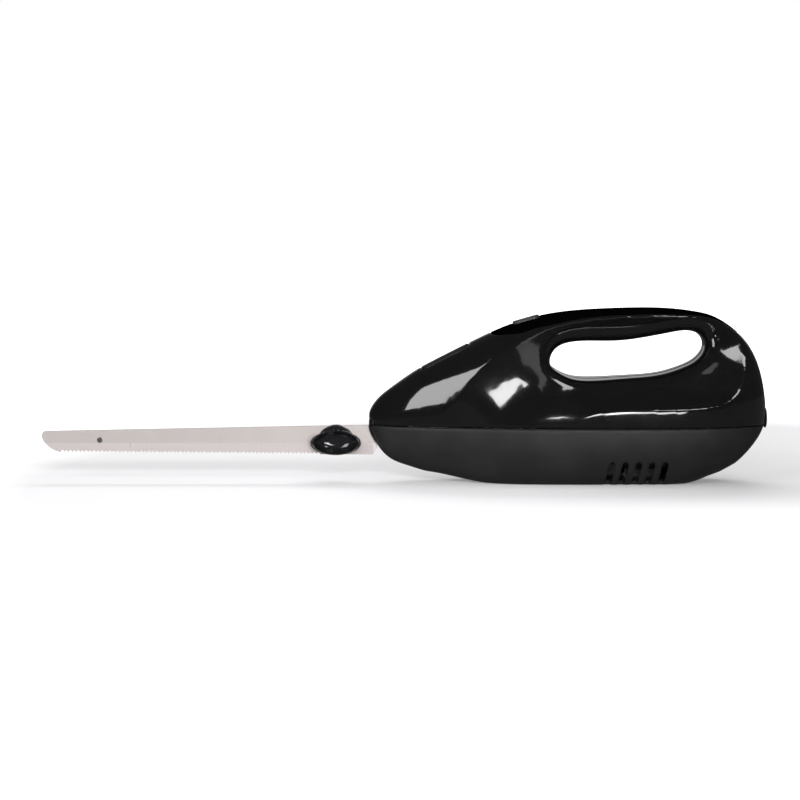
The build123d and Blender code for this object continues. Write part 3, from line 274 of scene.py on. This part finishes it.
# smoky plastic of the guards, with painted light: paler and browner towards the outline below a set height,
# as if lit through the thin rim
smokeValues = {"edge": (0.90, 1.02), "heights": (0.0300, 0.0270), "dark": (0.006, 0.0062, 0.007),
               "paintedGlow": (0.085, 0.060, 0.050)}
smoke = finishes["guard_plastic"]
alongX, alongZ = smoke.along("X", "Z")
lengthShare = (alongX - guardValues["x"]) / guardValues["outline"][0]
heightShare = (alongZ - guardValues["z"]) / guardValues["outline"][1]
fromMiddle = (lengthShare ** 2.0 + heightShare ** 2.0).maths("SQRT")
# painted light shining through the rim: the colour turns pale near the outline and below the given height
paintedRimGlow = smoke.spread(fromMiddle, *smokeValues["edge"]) * smoke.spread(alongZ, *smokeValues["heights"])
smoke.feed("Base Color", smoke.blend(paintedRimGlow, rgb(*smokeValues["dark"]), rgb(*smokeValues["paintedGlow"])))

# satin blade: grinding lines across the blade, a paler ground band above the teeth with a flute at each tooth
bladeValues = {
    "metallic": 0.50, "bottom": 0.0171, "bevel": 0.0074, "bevelFade": 0.0002, "toothPitch": 0.0025,
    "toothSpan": (-0.3429, -0.1778), "fluteFade": (0.0012, 0.0042), "bodyColour": (0.51, 0.47, 0.455),
    "bandColour": (0.66, 0.60, 0.59), "shadeColour": (0.46, 0.43, 0.415), "shadeMost": 0.35,
    "roughness": (0.25, 0.43), "fineScale": 900.0, "fineDetail": 4.0, "fineStretch": (1.0, 1.0, 0.06),
    "longScale": 260.0, "longDetail": 3.0, "longStretch": (0.03, 1.0, 1.0), "shadeFine": 0.5,
    "glossFine": 0.6, "lineRelief": 0.25, "fluteRelief": 0.7, "relief": 0.35, "depth": 0.0002,
}
blade = Finish("blade_steel", Metallic=bladeValues["metallic"])
alongX, alongZ = blade.along("X", "Z")
fineLines = blade.noise(bladeValues["fineScale"], bladeValues["fineDetail"],
                        blade.stretched(bladeValues["fineStretch"]))
longLines = blade.noise(bladeValues["longScale"], bladeValues["longDetail"],
                        blade.stretched(bladeValues["longStretch"]))
height = alongZ - bladeValues["bottom"]
bandTop = (bladeValues["bevel"] - bladeValues["bevelFade"], bladeValues["bevel"] + bladeValues["bevelFade"])
band = blade.spread(height, *bandTop, 1.0, 0.0)
flutes = (alongX * (2.0 * math.pi / bladeValues["toothPitch"])).maths("SINE")
toothFront, toothRear = bladeValues["toothSpan"]
nearTeeth = blade.spread(height, *bladeValues["fluteFade"], 1.0, 0.0)
toothZone = nearTeeth * alongX.below(toothRear) * alongX.above(toothFront)
steel = blade.blend(band, rgb(*bladeValues["bodyColour"]), rgb(*bladeValues["bandColour"]))
shadeLines = fineLines * bladeValues["shadeFine"] + longLines * (1.0 - bladeValues["shadeFine"])
shade = blade.spread(shadeLines, *noiseMiddle, 0.0, bladeValues["shadeMost"])
blade.feed("Base Color", blade.blend(shade, steel, rgb(*bladeValues["shadeColour"])))
glossLines = fineLines * bladeValues["glossFine"] + longLines * (1.0 - bladeValues["glossFine"])
blade.feed("Roughness", blade.spread(glossLines, *noiseMiddle, *bladeValues["roughness"]))
ground = fineLines * bladeValues["lineRelief"] + flutes * toothZone * bladeValues["fluteRelief"]
blade.bump(ground, bladeValues["relief"], bladeValues["depth"])
finishes["blade_steel"] = blade

print("finishes made:", len(finishes))


# meshes from the frame nodes
mergeReach = 0.000004
roundsForAll = 2  # smoothing rounds that crisp heights take too


def mergedCopy(name, nodeName):
    # the node's triangles in one mesh, with their loose corners merged
    made = bmesh.new()
    made.from_mesh(nodes[nodeName].data)
    bmesh.ops.remove_doubles(made, verts=made.verts, dist=mergeReach)
    mesh = bpy.data.meshes.new(name)
    made.to_mesh(mesh)
    made.free()
    piece = bpy.data.objects.new(name, mesh)
    scene.collection.objects.link(piece)
    return piece


def applied(piece):
    # the piece's modifiers written into its mesh
    shape = bpy.data.meshes.new_from_object(piece.evaluated_get(bpy.context.evaluated_depsgraph_get()))
    piece.modifiers.clear()
    piece.data = shape
    shape.name = piece.name


def relaxed(piece, rounds, share, crisp):
    # the mesh drawn smooth, a little at a time; between the crisp heights only the first rounds move it
    shape = bmesh.new()
    shape.from_mesh(piece.data)
    soft = [corner for corner in shape.verts if not crisp[0] < corner.co.z < crisp[1]]
    for turn in range(rounds):
        moving = shape.verts if turn < roundsForAll else soft
        bmesh.ops.smooth_vert(shape, verts=moving, factor=share, use_axis_x=True, use_axis_y=True,
                              use_axis_z=True)
    bmesh.ops.recalc_face_normals(shape, faces=shape.faces)
    for face in shape.faces:
        face.smooth = True
    shape.to_mesh(piece.data)
    shape.free()


def dress(piece, body, slotName, *replaced):
    # the piece rides on its body, takes its slot's finish and stands for the CAD nodes named
    piece.data.materials.clear()
    piece.data.materials.append(finishes[slotName].material)
    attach(piece, body)
    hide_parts(*replaced)


def skin(name, nodeName, body, slotName, cell, rounds, share=0.5, crisp=(1.0, 0.0), sculpt=None):
    # a smooth skin over one moulded piece, in even cells; the range (1.0, 0.0) leaves no height crisp
    piece = mergedCopy(name, nodeName)
    cells = piece.modifiers.new("cells", "REMESH")
    cells.mode = "VOXEL"
    cells.voxel_size = cell
    applied(piece)
    relaxed(piece, rounds, share, crisp)
    if sculpt:
        sculpt(piece)
    dress(piece, body, slotName, nodeName)
    return piece


# shallow dips in the glossy sides, which shape what they mirror: place, reach along and across, depth, and
# turn in degrees
dips = [
    dict(x=-0.0552, z=0.0542, along=0.0132, across=0.0144, depth=0.0009, turn=-80.6),
    dict(x=-0.0301, z=0.0450, along=0.0251, across=0.0251, depth=0.0004, turn=-50.5),
    dict(x=0.0664, z=0.0873, along=0.0100, across=0.0293, depth=0.0004, turn=-91.7),
]
# how far a face turns outwards before it dips at all, and how much further until it dips fully
dipFacing = {"from": 0.1, "over": 0.2}


def dipped(piece):
    # the outer side drawn in by the dips
    turns = [Matrix.Rotation(-math.radians(dip["turn"]), 2) for dip in dips]
    outward = [corner.normal.y for corner in piece.data.vertices]
    for corner, normal in zip(piece.data.vertices, outward):
        side = math.copysign(1.0, corner.co.y)
        facing = min(max((normal * side - dipFacing["from"]) / dipFacing["over"], 0.0), 1.0)
        for dip, turn in zip(dips, turns):
            place = turn @ Vector((corner.co.x - dip["x"], corner.co.z - dip["z"]))
            fall = math.exp(-(place.x / dip["along"]) ** 2 - (place.y / dip["across"]) ** 2)
            corner.co.y -= side * facing * dip["depth"] * fall


def bowled(piece):
    # the guard's hollow made one smooth deep bowl, with a round rim
    values = guardValues
    bowlTop = values["rim"] - values["rimDrop"]
    outward = [corner.normal.y for corner in piece.data.vertices]
    for corner, normal in zip(piece.data.vertices, outward):
        side = math.copysign(1.0, corner.co.y)
        x, z = corner.co.x - values["x"], corner.co.z - values["z"]
        within = math.hypot(x / values["bowl"][0], z / values["bowl"][1])
        outer = math.hypot(x / values["outline"][0], z / values["outline"][1])
        tooDeep = abs(corner.co.y) < values["floor"] - values["belowFloor"]
        if normal * side < values["facingIn"] or outer > 1.0 or tooDeep:
            continue
        if within < 1.0:
            hollow = (1.0 - within ** values["fullness"]) ** 0.5
            corner.co.y = side * (bowlTop - (bowlTop - values["floor"]) * hollow)
        elif abs(corner.co.y) > values["rim"] - values["rimZone"]:
            fromCrest = 2.0 * (within - 1.0) / max(within - outer, values["leastWidth"]) - 1.0
            drop = values["rimDrop"] + values["endDrop"] * min(abs(x) / values["bowl"][0], 1.0) ** 2
            corner.co.y = side * (values["rim"] - drop * fromCrest * fromCrest)


sides = ("left", "right")
upperSkin = dict(body="root", slotName="gloss_black", cell=0.00085, rounds=6, crisp=(0.0360, 0.0384),
                 sculpt=dipped)
guardSkin = dict(slotName="guard_plastic", cell=0.0003, rounds=4, sculpt=bowled)
mouldedSkins = [dict(name=side + "UpperSkin", nodeName="upper_shell_" + side, **upperSkin) for side in sides]
mouldedSkins += [
    dict(name="lowerSkin", nodeName="lower_housing", body="root", slotName="housing_grey", cell=0.0009,
         rounds=4, crisp=(0.0350, 0.0372)),
    dict(name="gripSkin", nodeName="grip_insert", body="root", slotName="grip_rubber", cell=0.0005, rounds=4),
    dict(name="collarSkin", nodeName="nose_collar", body="root", slotName="collar_plastic", cell=0.0003,
         rounds=3),
]
mouldedSkins += [dict(name=side + "GuardSkin", nodeName="guard_" + side, body=side + "_blade", **guardSkin)
                 for side in sides]
mouldedSkins += [
    dict(name="releaseSkin", nodeName="release_button", body="release_button", slotName="release_plastic",
         cell=0.0004, rounds=3),
    dict(name="powerSkin", nodeName="power_button", body="power_button", slotName="button_plastic",
         cell=0.0002, rounds=3),
    dict(name="glandSkin", nodeName="cord_gland", body="root", slotName="gland_rubber", cell=0.00025,
         rounds=3),
]
for values in mouldedSkins:
    made = skin(**values)
    print("skin", made.name, len(made.data.polygons), "faces")

# CAD nodes that show as they are take their slots' finishes
for entry in frame["record"]["subparts"]:
    mesh = nodes[entry["node"]].data
    mesh.materials.clear()
    mesh.materials.append(finishes[entry["material_slot"]].material)

# return springs, each a smooth copy of its CAD node riding on the root
springs = [
    dict(name="buttonCoil", nodeName="button_spring", joint="power_button_press", travel=0.002),
    dict(name="releaseCoil", nodeName="release_spring", joint="release_button_press", travel=0.003),
]
for values in springs:
    coil = mergedCopy(values["name"], values["nodeName"])
    for face in coil.data.polygons:
        face.use_smooth = True
    dress(coil, "root", "spring_steel", values["nodeName"])
    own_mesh(coil)
print("pieces dressed")


# floor, world, camera and lights
def sheet(name, half, segments, place, finish):
    # a flat sheet of the studio, laid out round the origin and put in its place
    shape = bmesh.new()
    bmesh.ops.create_grid(shape, x_segments=segments, y_segments=segments, size=half, matrix=place)
    mesh = bpy.data.meshes.new(name)
    shape.to_mesh(mesh)
    shape.free()
    mesh.materials.append(finish.material)
    made = bpy.data.objects.new(name, mesh)
    scene.collection.objects.link(made)
    return made


# the floor takes shadows near the knife and glows evenly further out; mirrored, it is dark
floorValues = {"half": 6.0, "segments": 8, "drop": 0.0004, "white": (0.72, 0.715, 0.73), "roughness": 0.9,
               "own": 0.12, "glow": 1.9, "mirrored": 0.10, "shadowReach": 0.36, "shadowFade": 0.25}
floorWhite = Finish("floor_white", Roughness=floorValues["roughness"], Base_Color=rgb(*floorValues["white"]),
                    Specular_IOR_Level=0.0)
seen = floorWhite.ray("Camera")
mirrored = floorWhite.ray("Glossy")
across, along = floorWhite.along("X", "Y")
away = (across * across + along * along).maths("SQRT")
shadowEnd = floorValues["shadowReach"] + floorValues["shadowFade"]
clearOfShadow = floorWhite.spread(away, floorValues["shadowReach"], shadowEnd, floorValues["own"], 1.0)
share = seen * clearOfShadow + mirrored
brightness = seen * floorValues["glow"] + mirrored * floorValues["mirrored"]
glow = floorWhite.node("ShaderNodeEmission", {}, {"Color": rgb(1.0, 1.0, 1.0), "Strength": brightness})
floorWhite.show(floorWhite.node("ShaderNodeMixShader", {}, {0: share, 1: floorWhite.principled, 2: glow}))
floorPlace = Matrix.Translation((0.0, 0.0, -floorValues["drop"]))
floor = sheet("floor", floorValues["half"], floorValues["segments"], floorPlace, floorWhite)

# white to the camera, a faint fill otherwise, and fainter still where it is mirrored
worldValues = {"fill": 0.22, "mirrored": 0.05, "seen": 1.0}
world = bpy.data.worlds.new("studio")
scene.world = world
world.use_nodes = True
sky = Shading(world.node_tree, "ShaderNodeOutputWorld")
lit = sky.node("ShaderNodeMix", {}, {"Factor": sky.ray("Glossy"), "A": worldValues["fill"],
                                     "B": worldValues["mirrored"]})
shown = sky.node("ShaderNodeMix", {}, {"Factor": sky.ray("Camera"), "A": lit, "B": worldValues["seen"]})
sky.show(sky.node("ShaderNodeBackground", {}, {"Color": rgb(1.0, 1.0, 1.0), "Strength": shown}))

cameraValues = {"target": (-0.127, 0.0, 0.0518), "distance": 1.411, "elevation": 5.5, "lens": 100.0,
                "sensor": 36.0}
rise = math.radians(cameraValues["elevation"])
camera = bpy.data.objects.new("camera", bpy.data.cameras.new("camera"))
camera.data.lens = cameraValues["lens"]
camera.data.sensor_width = cameraValues["sensor"]
backwards = Vector((0.0, -math.cos(rise), math.sin(rise)))
camera.location = Vector(cameraValues["target"]) + cameraValues["distance"] * backwards
camera.rotation_euler = (math.pi / 2 - rise, 0.0, 0.0)
scene.collection.objects.link(camera)
scene.camera = camera


def softbox(name, azimuth, elevation, size, power, distance=1.3, roll=0.0, aim=(0.0, 0.0, 0.06),
            mirrored=True):
    # a rectangular light facing the aim from a direction; azimuth 0 is the camera's side, 90 the handle's end
    turn, climb = math.radians(azimuth), math.radians(elevation)
    back = Vector((math.sin(turn) * math.cos(climb), -math.cos(turn) * math.cos(climb), math.sin(climb)))
    light = bpy.data.lights.new(name, "AREA")
    light.shape = "RECTANGLE"
    light.size, light.size_y = size
    light.energy = power
    lamp = bpy.data.objects.new(name, light)
    lamp.location = Vector(aim) + back * distance
    facing = back.to_track_quat("Z", "Y").to_matrix() @ Matrix.Rotation(math.radians(roll), 3, "Z")
    lamp.rotation_euler = facing.to_euler()
    lamp.visible_camera = False
    lamp.visible_glossy = mirrored
    scene.collection.objects.link(lamp)


lights = [
    dict(name="noseBox", azimuth=-32.0, elevation=23.0, size=(0.43, 0.72), power=6.0,
         aim=(-0.10, -0.022, 0.06)),
    dict(name="quadBox", azimuth=5.1, elevation=6.1, size=(0.301, 0.177), power=2.3, roll=-45.0,
         aim=(-0.06, -0.028, 0.06)),
    dict(name="rearBox", azimuth=19.6, elevation=39.7, size=(0.213, 0.326), power=1.5, roll=-32.7,
         aim=(0.08, -0.015, 0.08)),
    dict(name="backBox", azimuth=180.0, elevation=55.0, size=(1.2, 0.5), power=8.5, mirrored=False),
    dict(name="wedgeBox", azimuth=11.0, elevation=2.65, size=(0.41, 0.20), power=3.1,
         aim=(0.03, -0.033, 0.047)),
    dict(name="patchBox", azimuth=14.0, elevation=20.5, size=(0.36, 0.08), power=0.08,
         aim=(-0.04, -0.028, 0.08)),
    dict(name="backdropBox", azimuth=180.0, elevation=8.0, size=(1.8, 0.45), power=0.9),
    dict(name="topBox", azimuth=0.0, elevation=88.0, size=(1.3, 0.7), power=3.0, mirrored=False),
    dict(name="frontBox", azimuth=-4.0, elevation=16.0, size=(0.5, 0.14), power=15.0, mirrored=False),
]
for values in lights:
    softbox(**values)

# black card that keeps the wedge light off the handle
cardValues = {"centre": (0.08, -0.30, 0.105), "width": 0.16, "height": 0.05, "segments": 4}
cardBlack = Finish("card_black", Roughness=1.0, Base_Color=rgb(0.0, 0.0, 0.0), Specular_IOR_Level=0.0)
cardSize = Matrix.Diagonal((cardValues["width"], cardValues["height"], 1.0, 1.0))
cardPlace = Matrix.Translation(cardValues["centre"]) @ Matrix.Rotation(math.pi / 2, 4, "X") @ cardSize
card = sheet("card", 0.5, cardValues["segments"], cardPlace, cardBlack)
card.visible_camera = False
card.visible_diffuse = False

scene.view_settings.view_transform = "Standard"
print("stage set")
